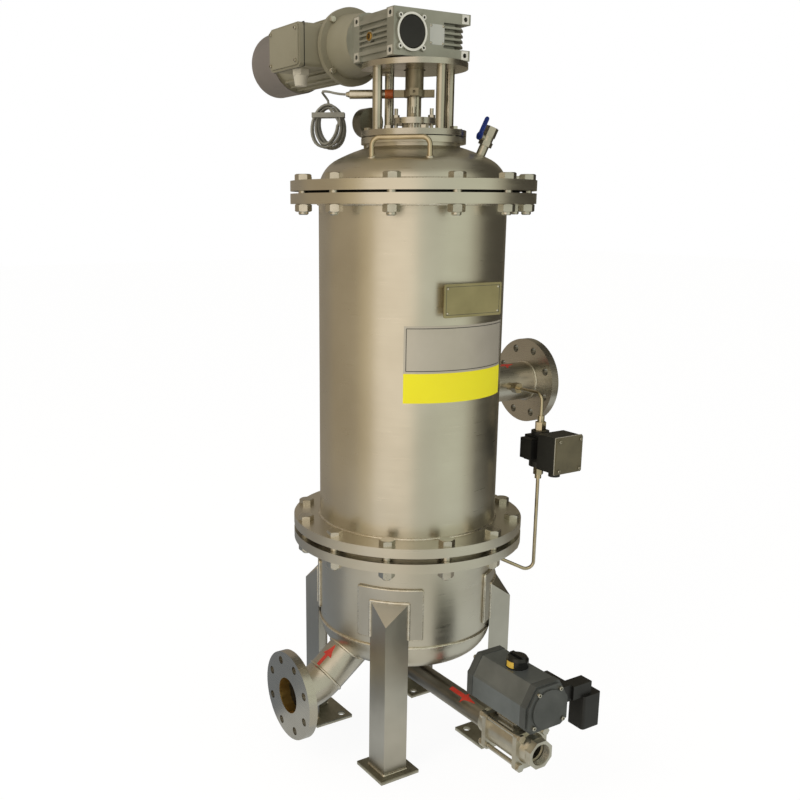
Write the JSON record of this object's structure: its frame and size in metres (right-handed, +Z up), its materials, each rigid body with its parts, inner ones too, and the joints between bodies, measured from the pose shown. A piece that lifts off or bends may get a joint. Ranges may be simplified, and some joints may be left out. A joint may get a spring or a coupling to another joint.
{
  "type": "self cleaning filter",
  "caption": "Upright stainless scraper filter on legs: flanged vessel with side outlet and low inlet, geared motor on the lid and an actuated drain valve.",
  "frame": {"origin": "on the vessel's axis at the floor, in the middle of the anchor holes", "axes": "+Z up along the vessel's axis, +X towards the outlet flange, -Y towards the drain valve"},
  "size_m": [0.676, 0.9709, 1.639],
  "materials": {
    "stainless_shell": "satin stainless steel",
    "stainless_pipe": "satin stainless pipe",
    "stainless_flange": "turned stainless steel",
    "leg_steel": "satin stainless angle",
    "foot_steel": "dull steel plate",
    "plate_steel": "thin stainless sheet",
    "gasket_rubber": "matt black rubber",
    "screen_steel": "stainless wedge wire",
    "bronze_bush": "plain bronze",
    "fastener_steel": "bright stainless bolts",
    "handle_steel": "drawn stainless bar",
    "packing": "woven packing",
    "shaft_steel": "ground stainless shaft",
    "scraper_plastic": "white scraper plastic",
    "cast_aluminium": "shot-blasted casting",
    "black_plastic": "black moulded plastic",
    "motor_paint": "khaki-grey enamel",
    "cowl_paint": "grey enamel on sheet",
    "fan_plastic": "black moulded fan",
    "gland_plastic": "pale moulded gland",
    "sensor_metal": "plated barrel",
    "gauge_metal": "polished case",
    "vent_metal": "cast stainless",
    "lever_blue": "blue dipped sleeve",
    "switch_paint": "olive cover",
    "tube_steel": "bright stainless tube",
    "valve_cast": "investment-cast stainless",
    "ball_steel": "polished ball",
    "actuator_anodised": "hard-anodised extrusion",
    "actuator_cap_paint": "dark coated cap",
    "cable_sheath": "grey cable sheath",
    "tie_plastic": "white plastic strap"
  },
  "bodies": {
    "vessel": {"lower_chamber": "stainless_shell", "inlet_nozzle": "stainless_pipe", "inlet_flange": "stainless_flange", "drain_pipe": "stainless_pipe", "leg_front": "leg_steel", "leg_left": "leg_steel", "leg_right": "leg_steel", "leg_back": "leg_steel", "leg_pads": "leg_steel", "foot_plates": "foot_steel", "body_shell": "stainless_shell", "outlet_nozzle": "stainless_pipe", "outlet_flange": "stainless_flange", "name_plate": "plate_steel", "gaskets": "gasket_rubber", "screen_ring": "screen_steel", "lower_bearing": "bronze_bush", "filter_screen": "screen_steel", "screen_rods": "screen_steel", "screen_top_ring": "screen_steel", "lower_flange_bolts": "fastener_steel", "upper_flange_bolts": "fastener_steel", "lid": "stainless_shell", "lid_handles": "handle_steel", "neck_bolts": "fastener_steel", "base_plate": "stainless_flange", "packing_rings": "packing", "gland_follower": "stainless_flange", "gland_studs": "fastener_steel", "columns": "handle_steel", "motor_plate": "stainless_flange", "gearbox_housing": "cast_aluminium", "gearbox_cap": "black_plastic", "motor_frame": "motor_paint", "fan_cowl": "cowl_paint", "terminal_box": "motor_paint", "terminal_cover": "motor_paint", "cable_gland": "gland_plastic", "sensor": "sensor_metal", "sensor_bracket": "sensor_metal", "pressure_gauge": "gauge_metal", "vent_valve": "vent_metal", "pressure_switch": "black_plastic", "switch_cover": "switch_paint", "switch_tubes": "tube_steel", "valve_body": "valve_cast", "valve_bolts": "fastener_steel", "actuator": "actuator_anodised", "actuator_caps": "actuator_cap_paint", "solenoid_valve": "black_plastic", "sensor_cable": "cable_sheath", "cable_hank": "cable_sheath", "cable_tie": "tie_plastic"},
    "scraper": {"scraper_shaft": "shaft_steel", "scraper_arms": "shaft_steel", "scraper_blades": "scraper_plastic", "trigger_cross": "shaft_steel"},
    "motor_rotor": {"motor_fan": "fan_plastic"},
    "drain_ball": {"valve_ball": "ball_steel"},
    "vent_handle": {"vent_lever": "lever_blue"}
  },
  "joints": [
    {"name": "scraper_turn", "type": "hinge", "parent": "vessel", "child": "scraper", "pos_m": [0, 0, 1], "axis": [0, 0, 1], "continuous": true},
    {"name": "motor_turn", "type": "hinge", "parent": "vessel", "child": "motor_rotor", "pos_m": [-0.063, 0.38, 1.56], "axis": [0, 1, 0], "continuous": true},
    {"name": "drain_valve_turn", "type": "hinge", "parent": "vessel", "child": "drain_ball", "pos_m": [0, -0.394, 0.166], "axis": [0, 0, 1], "range_deg": [0, 90]},
    {"name": "vent_valve_turn", "type": "hinge", "parent": "vessel", "child": "vent_handle", "pos_m": [0.12455, -0.09049, 1.36496], "axis": [-0.9472, -0.0208, 0.3201], "range_deg": [0, 90]}
  ],
  "couplings": [
    {"joint": "motor_turn", "follows": "scraper_turn", "ratio": 30}
  ]
}
